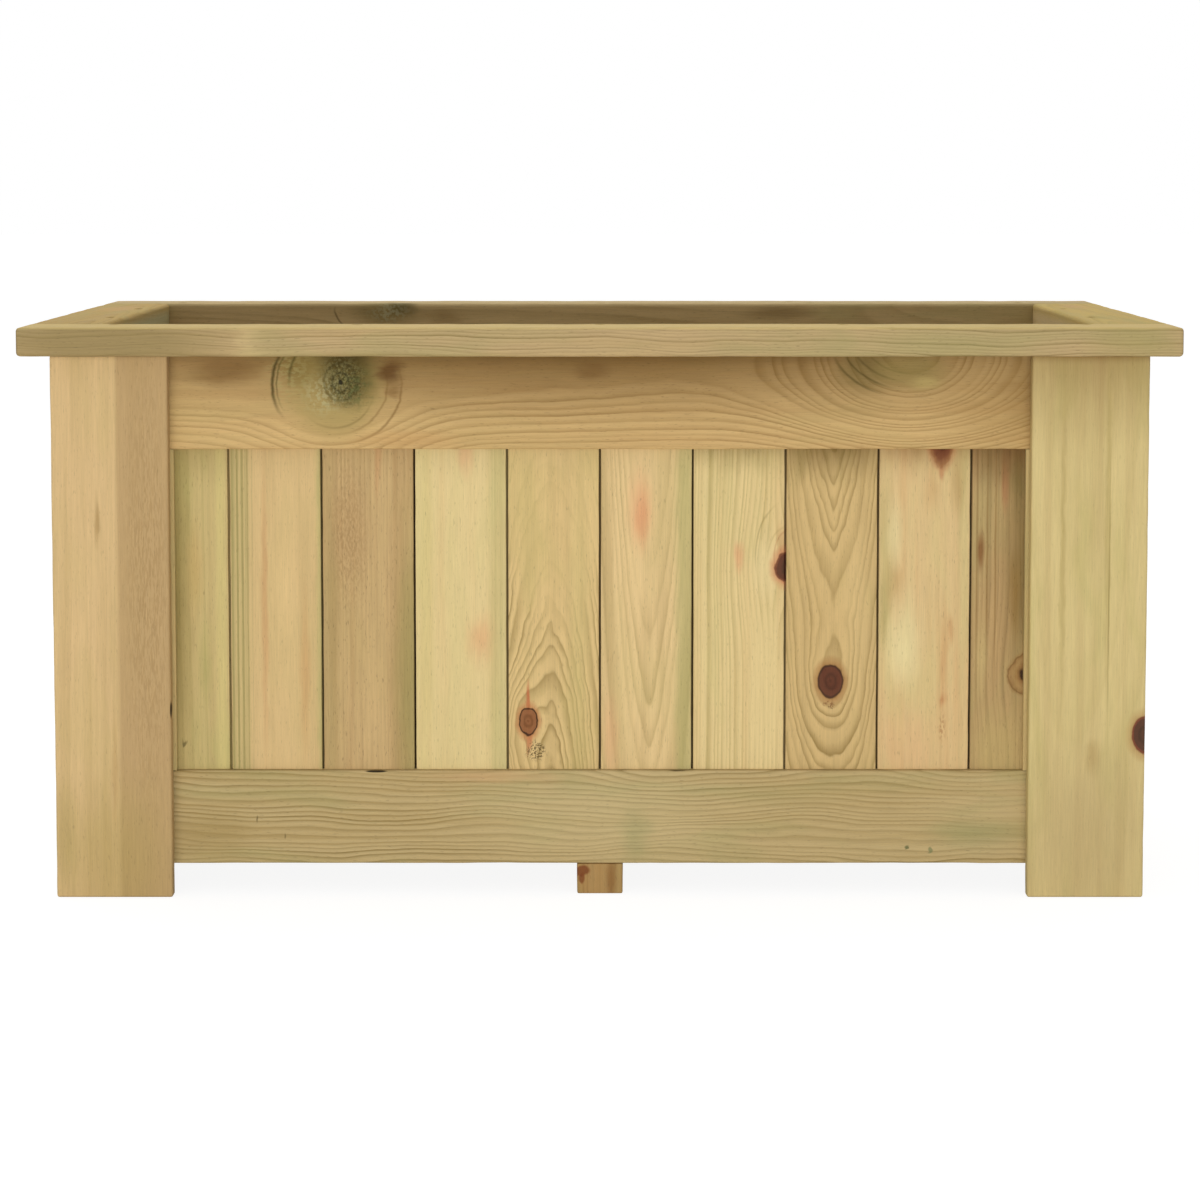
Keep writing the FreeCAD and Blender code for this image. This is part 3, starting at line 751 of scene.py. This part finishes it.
rail = {"ease": 2, "groove": 14.4, "grooveDepth": 10}  # the groove that the slats stand in
looks["front_top_rail"] = dict(
    light="#cfae76", dark="#8c6c3a", pith=(-33, 60), slope=(0.0, 0.02), spacing=5.0, contrast=0.75,
    wave=(5, 0.6, 0.3), green=("#a39a60", 0.15), streak=("#b08a57", 0.3), faintest=0.6,
    knots=[
        dict(at=(-253, 503), reach=(88, 96), push=0.93),  # rings round the green eye
        dict(at=(301, 540), reach=(108, 92), push=0.35, bump=-75),  # rings round a hidden knot
    ],
    stains=[
        soft((0, 541), (900, 104), "#5a3b06", 0.83),  # painted shadow of the rim over the rail's top
        # painted dark shade line just under the rim
        stain((0, 529), (900, 14), "#4a3004", 0.24, edge=0.2, fray=0),
        soft((400, 466), (110, 60), "#8f6d38", 0.35),
        stain((-256, 497), (60, 64), "#9a8950", 0.6, edge=0.5),
        stain((-290, 516), (32, 30), "#75612f", 0.6),
        stain((-243, 506), (38, 38), "#5c5026", 0.9, edge=0.35, fray=0.4),  # green eye
        stain((-246, 531), (44, 28), "#42340f", 0.85, edge=0.2, fray=0.5),
        stain((-266, 488), (30, 26), "#b5ae80", 0.55, fray=0.5, speckle=3.6),
        stain((-300, 505), (34, 40), "#a39a62", 0.4, speckle=3, stretch=2),
        stain((-250, 500), (34, 36), "#948c5c", 0.5, speckle=2.4),
        stain((-236, 494), (24, 26), "#4f5c33", 0.5, speckle=6),
        stain((-246, 500), (26, 30), "#2e2a12", 0.6, speckle=2.1),
        stain((-250, 501), (8, 9), "#2e2a12", 0.5, line=0.25, fray=0.1),
        stain((-250, 501), (16, 18), "#2e2a12", 0.35, line=0.12, fray=0.15),
        stain((-250, 501), (3, 3.6), "#14120a", 0.9, edge=0.4, fray=0),
        stain((-252, 499), (64, 59), "#453a18", 0.85, line=0.045, fray=0.13, only=((-316, 506), (30, 50))),
        stain((-254, 499), (58, 54), "#4f4620", 0.6, line=0.03, fray=0.13, only=((-308, 512), (26, 46))),
        stain((-250, 501), (50, 50), "#4f4620", 0.7, line=0.05, fray=0.13, only=((-294, 522), (26, 34))),
        stain((-252, 499), (61, 58), "#7a5a2e", 0.6, line=0.035, fray=0.15, only=((-200, 468), (60, 60))),
        stain((-254, 499), (49, 48), "#7a5a2e", 0.45, line=0.04, fray=0.15, only=((-214, 474), (50, 50))),
        stain((-256, 495), (38, 38), "#6c5a30", 0.4, line=0.05, fray=0.15, only=((-240, 462), (50, 30))),
        stain((-202, 511), (20, 18), "#563614", 0.8),  # dark streaks beside it
        stain((-198, 492), (12, 8), "#6b4a22", 0.5),
        stain((-362, 512), (50, 22), "#6b4a24", 0.5),
        stain((-8, 512), (24, 14), "#5d3c18", 0.4),
        stain((256, 512), (40, 32), "#62572a", 0.5, edge=0.2, fray=0.5),
        stain((305, 545), (84, 60), "#4a3f18", 0.6, line=0.03, fray=0.1, only=((246, 506), (42, 40))),
        stain((305, 545), (73, 52), "#4a3f18", 0.6, line=0.03, fray=0.1, only=((252, 510), (44, 38))),
        stain((305, 545), (63, 44), "#4a3f18", 0.5, line=0.04, fray=0.1, only=((262, 514), (44, 34))),
        stain((305, 545), (52, 36), "#5b4c20", 0.5, line=0.04, fray=0.1, only=((280, 516), (46, 30))),
        stain((300, 512), (48, 26), "#877844", 0.6, edge=0.2),
        stain((313, 500), (22, 9), "#b5a064", 0.6, fray=0.5),
        stain((-190, 446), (70, 14), "#c0965f", 0.4),
        stain((430, 500), (60, 60), "#76592a", 0.4),
    ],
)
looks["front_bottom_rail"] = dict(
    light="#bfa878", dark="#7d6937", pith=(230, 30), slope=(0.02, 0.0), spacing=5.3, contrast=0.95,
    wave=(18, 1.6, 0.3), waveLength=(170, 50, 13), green=("#999660", 0.3), streak=("#a58a54", 0.3),
    faintest=0.6, weakest=0.5, uneven=1.1,
    calm=[dict(at=(400, 80), radius=(130, 70), amount=0.6, edge=0.1)],
    stains=[
        stain((-100, 116), (90, 9), "#c99f70", 0.45),
        soft((0, 80), (200, 70), "#d2c292", 0.3),
        stain((-218, 121.2), (13, 1.6), "#140d06", 0.95, edge=0.6, fray=0, deep=(257, 3)),  # painted shadow of the gap under a slat's end
        # the same painted gap shadow under another slat's end
        stain((76, 121.8), (12, 1.0), "#140d06", 0.8, edge=0.6, fray=0, deep=(257, 3)),
        soft((35, 58), (24, 40), "#8c9060", 0.38),
        soft((365, 58), (60, 24), "#8a8f60", 0.35),
        stain((-380, 60), (60, 40), "#97804a", 0.4),
        stain((-334, 74), (1.3, 5), "#5f5230", 0.7, edge=0.2, fray=0.1),
        stain((-307, 57), (1.3, 4), "#5f5230", 0.6, edge=0.2, fray=0.1),
        stain((300, 46), (3, 3), "#55603c", 0.8, edge=0.5),
        stain((322, 43), (4, 4), "#5d7048", 0.6, edge=0.5),
    ],
)
walls = {"front": ("x", "-y"), "back": ("x", "y"), "left": ("y", "-x"), "right": ("y", "x")}
for side, (along, face) in walls.items():
    for level, opening in (("top", "-z"), ("bottom", "z")):
        low, high = boxOf(f"{side}_{level}_rail")
        middle = (low + high).dot(axisOf[face]) / 2
        groove = (axisOf[opening], axisOf[face], middle, rail["groove"], -rail["grooveDepth"])
        makeBoard(f"{side}_{level}_rail", along, face, rail["ease"], [groove])
print("rails made")

slat = {
    "pitch": 90,
    "gap": 1.7,
    "tongue": 4,  # its thickness
    "reach": 4,  # how far it stands out
    "play": 0.4,  # the groove is wider by this
    "inStile": 9,  # how deep the outer slats sit in the stiles
    "ease": 1.2,
    # Painted shade in the gaps between slats: its colour, reach, edge and share in each gap
    "gapShade": "#2a1b0c",
    "gapShadeReach": 1.1,
    "gapShadeEdge": 0.5,  # where the painted gap shade starts to fade
    "gapShadeShares": (0.8, 0.45, 0.85, 1.0, 0.75, 0.9, 0.95, 0.75, 0.85, 0.95),
    "middle": 278,  # height of the wall's middle
    "shade": "#6b5226",  # painted shadow under the top rail
    "shadeShare": 0.2,
    "shadeHeight": 448,
    "shadeRadius": (160, 52),
}
looks["front_slat_1"] = dict(
    light="#c5af77", dark="#968a50", pith=(-120, 30), spacing=7, contrast=0.5, green=("#b0aa68", 0.45),
    stains=[
        # painted shadow of the left stile along this edge
        soft((-414, 290), (26, 330), "#86743e", 0.75),
        stain((-368, 290), (7, wholeBoard), "#d2c07f", 0.6, edge=0.2, fray=0.4),
        soft((-393, 320), (12, 70), "#c39f66", 0.5),
        soft((-384, 220), (10, 60), "#a09a5c", 0.45),
        # painted shade under the top rail
        soft((-386, 444), (60, 60), "#93804a", 0.28),
        stain((-405, 150), (3, 4), "#5c5230", 0.7, edge=0.4),
    ],
)
looks["front_slat_2"] = dict(
    light="#d3b580", dark="#908957", pith=(190, 10), spacing=4.0, contrast=0.8, wave=(1.5, 0.3, 0.25),
    green=("#c2ae74", 0.2),
    calm=[dict(at=(-300, 280), radius=(44, wholeBoard), amount=0.9, edge=0.7)],
    stains=[
        stain((-350, 280), (14, wholeBoard), "#b5a56c", 0.5, edge=0.3),
        *[stain((x, 280), (width, wholeBoard), "#8f8650", amount, edge=0.3, fray=0.1)  # thin lines
          for x, width, amount in ((-357, 1.5, 0.6), (-352, 1.3, 0.65), (-347, 1.6, 0.6))],
        stain((-342, 280), (1.2, wholeBoard), "#9a8c56", 0.5, edge=0.3, fray=0.1),
        stain((-326, 280), (5, 200), "#c08f60", 0.5),
        soft((-287, 215), (8, 120), "#c1935f", 0.5),
        soft((-305, 300), (16, 60), "#dfc088", 0.45),
        stain((-269, 280), (9, wholeBoard), "#a5a063", 0.6, edge=0.2),
    ],
)
looks["front_slat_3"] = dict(
    light="#c4a674", dark="#94784d", pith=(-150, 20), spacing=5, contrast=0.5, flecks=0.35,
    streak=("#a98558", 0.45), green=("#a9955c", 0.2), fibre=0.09,
    stains=[
        stain((-184, 200), (24, 230), "#9a8d56", 0.7, edge=0.1),
        soft((-222, 190), (14, 120), "#cfb07c", 0.45),
        stain((-262, 240), (10, 300), "#a08c5a", 0.45),
        stain((-215, 430), (5, 60), "#bf8a5e", 0.4),
        stain((-240, 360), (24, 90), "#a8845a", 0.35),
        stain((-244, 350), (26, 110), "#86643a", 0.28, speckle=1.5, stretch=3),
    ],
)
looks["front_slat_4"] = dict(
    light="#dcc58e", dark="#ab985e", pith=(260, 20), spacing=4.2, contrast=0.55, wave=(2, 0.3, 0.25),
    green=("#c9be80", 0.25), streak=("#d0ad78", 0.3),
    calm=[dict(at=(-150, 280), radius=(48, wholeBoard), amount=0.85, edge=0.75)],
    stains=[
        stain((-131, 432), (12, 30), "#dca67c", 0.5),
        soft((-116, 250), (20, 34), "#d8a274", 0.6),
        stain((-98, 300), (14, wholeBoard), "#b5ad72", 0.4, edge=0.2),
        stain((-170, 300), (12, 300), "#cdbd7e", 0.5),
    ],
)
looks["front_slat_5"] = dict(
    light="#d8bb82", dark="#866f3a", pith=(-2, 42), slope=(0.0, 0.13), spacing=3.8, contrast=0.85,
    faintest=0.7, wave=(1.6, 2.0, 0.6), waveLength=(200, 30, 13), green=("#b3a766", 0.3),
    calm=[dict(at=(-45, 380), radius=(70, 140), amount=0.8, edge=0.55)],
    knots=[
        dict(at=(-70, 169), radius=(8.5, 13), reach=(26, 52), push=0.75, bump=-11,
             tones=knotTones["living"]),
        dict(at=(-49, 268), reach=(7, 56), push=0.0, bump=-2.6),  # flame
    ],
    stains=[
        stain((-70, 192), (3, 18), "#b9653f", 0.8, edge=0.3),
        stain((-69, 147), (4, 16), "#c0744c", 0.7, edge=0.3),
        stain((-62, 137), (12, 9), "#5c4a2c", 0.9, edge=0.5, speckle=1.6),
        stain((-20, 280), (16, 200), "#c9b679", 0.4),
        soft((-45, 440), (60, 36), "#e6c890", 0.4),  # paler upper end, which weakens the painted shade under the top rail
    ],
)
looks["front_slat_6"] = dict(
    light="#dfc28c", dark="#957c48", pith=(3, 44), slope=(0.0, -0.055), spacing=4.8, contrast=0.7,
    faintest=0.6, wave=(1.6, 0.4, 0.25), green=("#c4b576", 0.2),
    calm=[dict(at=(44, 370), radius=(24, 150), amount=0.8, edge=0.4)],
    knots=[
        dict(at=(48, 180), reach=(9, 160), push=0.0, bump=-1.6),  # flame
    ],
    stains=[
        soft((39, 378), (17, 60), "#dd9870", 0.55),
        stain((41, 370), (9, 34), "#d0865a", 0.3),
        stain((83, 280), (14, wholeBoard), "#a9a468", 0.55, edge=0.2),
        stain((10, 150), (12, 60), "#d79c74", 0.4),
        soft((45, 440), (60, 36), "#e6c890", 0.35),  # paler upper end, which weakens the painted shade under the top rail
    ],
)
looks["front_slat_7"] = dict(
    light="#dec68e", dark="#a8935a", pith=(130, 30), spacing=4.4, contrast=0.8, faintest=0.7,
    wave=(1.8, 0.3, 0.25), green=("#c6b97c", 0.3), streak=("#cfac76", 0.3),
    calm=[dict(at=(160, 200), radius=(30, 110), amount=0.75, edge=0.3)],
    knots=[
        dict(at=(183, 320), radius=(12, 14), reach=(40, 58), push=0.95, bump=14,
             tones=dict(core="#55291f", ring="#3d1c16", line="#74402c", halo="#c48058")),
    ],
    stains=[
        stain((135, 330), (7, 22), "#d8946c", 0.5),
        stain((178, 345), (8, 24), "#b98458", 0.4),
        stain((160, 322), (20, 40), "#e2cc98", 0.5),
        stain((184, 330), (33, 56), "#96804c", 0.5, line=0.04, fray=0.2, only=((158, 352), (24, 48))),
        stain((186, 322), (24, 40), "#a3884f", 0.3, line=0.05, fray=0.2, only=((172, 345), (20, 30))),
        stain((186, 330), (17, 28), "#b98458", 0.45, line=0.07, fray=0.15),  # lines round the knot
        soft((135, 450), (110, 44), "#7d6a34", 0.6),  # painted shadow under the top rail
    ],
)
looks["front_slat_8"] = dict(
    light="#d0b27a", dark="#836a36", pith=(2, 46), slope=(0.0, -0.12), spacing=4.0, contrast=0.85,
    faintest=0.6, wave=(2.5, 1.2, 0.5), waveLength=(200, 32, 13), green=("#a89c5e", 0.3),
    knots=[
        dict(at=(224.5, 208.5), radius=(11.5, 15.5), reach=(24, 50), push=0.6, bump=-13, ragged=0.25,
             tones=dict(core="#5c2e22", ring="#49231b", line="#3f2018", halo="#a0703f")),
        dict(at=(227, 380), reach=(6, 170), push=0.0, bump=-2.5),  # flame
    ],
    stains=[
        stain((223, 186), (8, 5), "#6b4630", 0.8, edge=0.4, speckle=1.6),
        soft((225, 450), (110, 60), "#624a1c", 0.75),  # painted shadow under the top rail
        stain((250, 280), (20, 120), "#d8bc84", 0.4),
    ],
)
looks["front_slat_9"] = dict(
    light="#d6b985", dark="#ab8e5a", pith=(-70, 60), spacing=8, contrast=0.3, green=("#cfc083", 0.4),
    streak=("#d3a874", 0.45),
    knots=[
        dict(at=(331, 448), radius=(13, 29.5), reach=(30, 50), push=0.7, halo=1.3, ragged=0.3,
             layers=[(0.0, "#3a1a0c", 0.95), (0.42, "#4a2412", 0.95), (0.52, "#66331d", 0.95),
             (0.75, "#733e26", 0.92), (0.93, "#8f5a36", 0.8), (1.08, "#b8865a", 0.5),
             (1.3, "#c89c6c", 0.0)]),
    ],
    stains=[
        soft((335, 225), (6, 80), "#c4905f", 0.5),
        stain((334, 165), (5, 18), "#a8754a", 0.6, speckle=2, stretch=2),
        stain((331, 413), (4, 12), "#b4714d", 0.6),
        soft((348, 400), (13, 46), "#a98a56", 0.6),
        soft((322, 396), (12, 34), "#c49b68", 0.5),
        soft((284, 302), (16, 34), "#bd9c66", 0.6),
        soft((276, 270), (7, 50), "#a4945a", 0.5),
        soft((293, 236), (24, 52), "#ecdba4", 0.55),
        stain((341, 262), (5, 22), "#c08e5e", 0.55),
        soft((334, 189), (6, 11), "#b97f50", 0.65),
        stain((277, 330), (12, 140), "#b3a86c", 0.4),
        stain((354, 330), (8, 200), "#c3b87c", 0.4),
        stain((287, 352), (13, 44), "#dfd09a", 0.5),
        stain((298, 252), (24, 66), "#dfd09a", 0.45),
        stain((300, 148), (34, 46), "#dcae80", 0.4),
        soft((315, 450), (110, 46), "#855c26", 0.66),  # painted shadow under the top rail
    ],
)
looks["front_slat_10"] = dict(
    light="#b79767", dark="#826842", pith=(-60, 20), spacing=5.5, contrast=0.65,
    knots=[
        dict(at=(415, 215), radius=(17, 20), reach=(30, 60), push=0.8, bump=-8, halo=1.15,
             layers=[(0.0, "#24150b", 0.95), (0.3, "#2e1a0e", 0.95), (0.42, "#7d5226", 0.7),
             (0.7, "#a5773f", 0.35), (0.88, "#8a5c2c", 0.5), (0.96, "#6b4420", 0.7),
             (1.04, "#8f6936", 0.3), (1.15, "#8f6936", 0.0)]),
    ],
    stains=[
        soft((416, 330), (36, 190), "#6f5c30", 0.75),
        stain((370, 336), (5, 30), "#7d4f2a", 0.8, edge=0.1, fray=0.5),
        stain((366, 300), (1.4, 190), "#856637", 0.55, fray=0.15),  # thin lines
        stain((376, 320), (1.6, 190), "#856637", 0.6, fray=0.15),
        stain((384, 330), (1.5, 170), "#80602f", 0.55, fray=0.15),
        soft((371, 231), (9, 60), "#c9b277", 0.5),
        soft((404, 294), (9, 60), "#8a682f", 0.5),
        soft((405, 410), (10, 60), "#5f5224", 0.5),
        stain((393, 402), (6, 44), "#a8704a", 0.55),
        soft((392, 450), (80, 70), "#5a3006", 0.77),  # painted shadow under the top rail
        stain((386, 140), (40, 60), "#bda76c", 0.55),
    ],
)
# Half the width that each wall's slats fill, and the joints on either side of the middle one
panels = {"front": (412, 4), "back": (412, 4), "left": (157, 1), "right": (157, 1)}
for side, (half, pairs) in panels.items():
    along, face = "z", walls[side][1]
    outward = axisOf[face]
    right = axisOf["z"].cross(outward)
    sign = right.x + right.y
    starts = [-half] + [slat["pitch"] * step for step in range(-pairs, pairs + 1)]
    for number, start in enumerate(starts, start=1):
        first, last = number == 1, number == len(starts)
        end = half if last else starts[number]
        begin = start - slat["inStile"] if first else start + slat["gap"] / 2
        stop = end + slat["inStile"] if last else end - slat["gap"] / 2
        key = f"{side}_slat_{number}"
        node = key if key in nodes else side + "_slats"
        low, high = boxOf(node)
        place = 0 if abs(right.x) > 0.5 else 1
        low[place], high[place] = sorted((begin * mm * sign, stop * mm * sign))
        middle = (low + high).dot(outward) / 2
        mills = []
        if not last:
            mills.append((right, outward, middle, slat["tongue"], slat["gap"] + slat["reach"]))
        if not first:
            mills.append((-right, outward, middle, slat["tongue"] + slat["play"], -slat["reach"] - 1))
        # Painted shade in the gaps between slats, and a painted shadow under the top rail
        gaps = []
        for line, index, there in ((start, number - 1, not first), (end, number, not last)):
            if there:
                share = slat["gapShadeShares"][index % len(slat["gapShadeShares"])]
                gaps.append(stain((line * sign, slat["middle"]), (slat["gapShadeReach"], wholeWall),
                                  slat["gapShade"], share, edge=slat["gapShadeEdge"], fray=0))
        gaps.append(soft(((start + end) / 2 * sign, slat["shadeHeight"]), slat["shadeRadius"],
                         slat["shade"], slat["shadeShare"], fray=0))
        addBoard(key, low, high, along, face, slat["ease"], node, mills, gaps)
print("slats made")

foot = {"ease": 2}
looks["front_foot"] = dict(
    light="#a98450", dark="#76562a", pith=(-40, 20), spacing=5, contrast=0.4,
    stains=[
        stain((11.5, 17), (8, 40), "#7a4e22", 0.6, edge=0.1),
        stain((-18, 23), (10, 6), "#7b4626", 0.9, edge=0.6, fray=0.3),  # knot
        stain((-18, 16), (4, 7), "#7b4626", 0.85, edge=0.5, fray=0.3),
    ],
)
for name, face in (("front_foot", "-y"), ("back_foot", "y")):
    makeBoard(name, "z", face, foot["ease"])

floorPlan = {"boards": 5, "width": 87, "ease": 2}
low, high = boxOf("floor_boards")
spread = (high.y - low.y - floorPlan["width"] * mm) / (floorPlan["boards"] - 1)
for number in range(floorPlan["boards"]):
    start = Vector((low.x, low.y + spread * number, low.z))
    end = Vector((high.x, start.y + floorPlan["width"] * mm, high.z))
    addBoard(f"floor_board_{number + 1}", start, end, "x", "z", floorPlan["ease"], "floor_boards")

# Nodes of the frame that keep their shape and get only their wood
looks["front_left_stile"] = dict(light="#c9b078", dark="#9b8550", contrast=0.3)
looks["front_right_stile"] = dict(light="#cdb47c", dark="#9b8550", contrast=0.3)
kept = {"left_ledger": ("y", "x"), "right_ledger": ("y", "-x"), "centre_bearer": ("y", "z")}
for side, (_, face) in walls.items():
    kept.update({name: ("z", face) for name in nodes if name.startswith(side) and name.endswith("stile")})


def dressNode(name, material):
    nodes[name].data.materials.clear()
    nodes[name].data.materials.append(material)


for name, (along, face) in kept.items():
    low, high = boxOf(name)
    look = lookOf(name, name, low, high, along, face)
    dressNode(name, makePine(name, look, along, face, low, high))
print("floor, feet and stiles made")

# Zinc plated steel, tumbled in a drum: a dull grey metal with faint clouds
zinc, zincTree = newMaterial("steel_zinc_plated")
zincNode = partial(addNode, zincTree)
where = zincNode("TexCoord")
place = zincNode("Mapping", {"Vector": where.outputs["Object"], "Scale": (1000, 1000, 1000)})
cloud = zincNode("TexNoise", {"Vector": place, "Scale": 0.8, "Detail": 3.0})
tint = zincNode("Mix", {0: cloud, 6: linear("#b9bab4"), 7: linear("#8f918d")}, data_type="RGBA")
dull = zincNode("MapRange", {"Value": cloud, "To Min": 0.3, "To Max": 0.5})
scratch = zincNode("TexNoise", {"Vector": place, "Scale": 3.0, "Detail": 2.0})
zincBump = zincNode("Bump", {"Height": scratch, "Distance": 0.00003})
metal = zincNode("BsdfPrincipled", {"Base Color": tint, "Metallic": 1.0, "Roughness": dull,
                                    "Normal": zincBump})
zincNode("OutputMaterial", {"Surface": metal})
for name in screws:
    dressNode(name, zinc)

studio = {
    "world": 0.5,
    "top": {"power": 40, "width": 3.0, "height": 3.0, "place": (-0.5, 1.2, 3.0), "aim": (0, 0.1, 0.5)},
    "front": {"power": 68, "width": 4.0, "height": 0.5, "place": (-0.3, -3.7, 0.28), "aim": (0, 0, 0.28)},
    "floor": "#ececea", "floorGlow": 0.75, "glowStrength": 1.2,
}


# 1 for rays that show the thing itself or mirror it, 0 for those that only light something else
def showingRays(tree):
    path = addNode(tree, "LightPath").outputs
    seen = addNode(tree, "Math", [path["Is Camera Ray"], path["Is Glossy Ray"]], "MAXIMUM")
    return addNode(tree, "Math", [seen, path["Is Transmission Ray"]], "MAXIMUM")


world = bpy.data.worlds.new("studio")
bpy.context.scene.world = world
world.use_nodes = True
world.node_tree.nodes.clear()
worldNode = partial(addNode, world.node_tree)
seen = showingRays(world.node_tree)
strength = worldNode("MapRange", {"Value": seen, "To Min": studio["world"], "To Max": 1.0})
sky = worldNode("Background", {"Color": (1, 1, 1, 1), "Strength": strength})
worldNode("OutputWorld", {"Surface": sky})

floorMaterial, floorTree = newMaterial("paper_matt_white")  # matt paper roll: white, with a faint shadow
floorNode = partial(addNode, floorTree)
paper = floorNode("BsdfPrincipled", {"Base Color": linear(studio["floor"]), "Roughness": 0.9})
glow = floorNode("Emission", {"Color": (1, 1, 1, 1), "Strength": studio["glowStrength"]})
seen = showingRays(floorTree)
share = floorNode("Math", [seen, studio["floorGlow"]], "MULTIPLY")
mixed = floorNode("MixShader", {0: share, 1: paper, 2: glow})
floorNode("OutputMaterial", {"Surface": mixed})
bm = bmesh.new()
bmesh.ops.create_grid(bm, x_segments=1, y_segments=1, size=30)
newPiece("floor", bm, floorMaterial)

for name in ("top", "front"):
    values = studio[name]
    data = bpy.data.lights.new(name + "_light", "AREA")
    data.shape = "RECTANGLE"
    data.size = values["width"]
    data.size_y = values["height"]
    data.energy = values["power"]
    lamp = bpy.data.objects.new(name + "_light", data)
    lamp.location = values["place"]
    lamp.rotation_euler = (Vector(values["aim"]) - lamp.location).to_track_quat("-Z", "Y").to_euler()
    bpy.context.scene.collection.objects.link(lamp)

lens = {
    "place": (0.00778, -3.2157, 0.70551),
    "tilt": 4.657,  # degrees below level
    "length": 92.27,
    "sensor": 36,
    "shift": (-0.00661, -0.15),
    "farthest": 100,
}
cameraData = bpy.data.cameras.new("camera")
cameraData.sensor_width = lens["sensor"]
cameraData.lens = lens["length"]
cameraData.shift_x, cameraData.shift_y = lens["shift"]
cameraData.clip_end = lens["farthest"]
camera = bpy.data.objects.new("camera", cameraData)
camera.location = lens["place"]
camera.rotation_euler = (math.radians(90 - lens["tilt"]), 0, 0)
bpy.context.scene.collection.objects.link(camera)
bpy.context.scene.camera = camera
bpy.context.scene.view_settings.view_transform = "Standard"
print("studio set")
